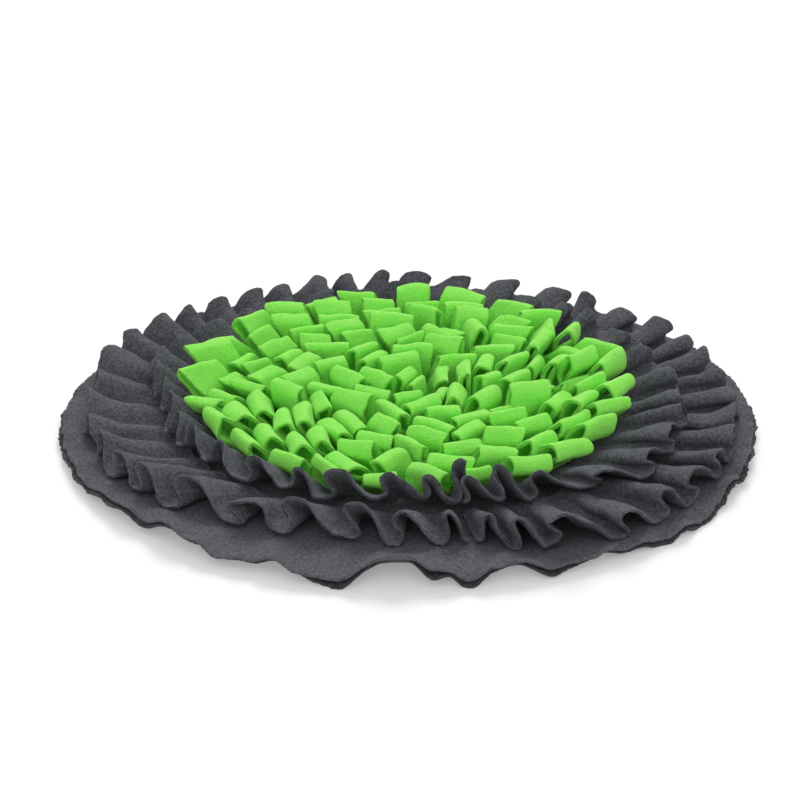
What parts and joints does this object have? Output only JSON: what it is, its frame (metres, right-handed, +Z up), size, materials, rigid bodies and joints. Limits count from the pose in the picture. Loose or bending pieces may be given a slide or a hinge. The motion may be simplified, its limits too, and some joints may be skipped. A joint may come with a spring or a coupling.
{
  "type": "snuffle mat",
  "caption": "Round fleece snuffle mat: flat two-layer base, two gathered ruffles round its edge and a field of folded fleece loops in the middle, for hiding treats in.",
  "frame": {"origin": "centre of the flat underside, on the surface the mat lies on", "axes": "+Z up, the ruffles' two seams at the front on -Y, 11 degrees towards +X"},
  "size_m": [0.4986, 0.4979, 0.0506],
  "materials": {
    "base_fleece": "matt brushed fleece, slate grey",
    "ruffle_fleece": "matt brushed fleece, slate grey",
    "loop_fleece": "matt brushed fleece, lime green"
  },
  "bodies": {
    "root": {"base_bottom": "base_fleece", "base_top": "base_fleece", "outer_ruffle": "ruffle_fleece", "inner_ruffle": "ruffle_fleece", "loop_ring_1": "loop_fleece", "loop_ring_2": "loop_fleece", "loop_ring_3": "loop_fleece", "loop_ring_4": "loop_fleece", "loop_ring_5": "loop_fleece", "loop_ring_6": "loop_fleece", "loop_ring_7": "loop_fleece", "loop_ring_8": "loop_fleece", "loop_ring_9": "loop_fleece"}
  },
  "joints": []
}
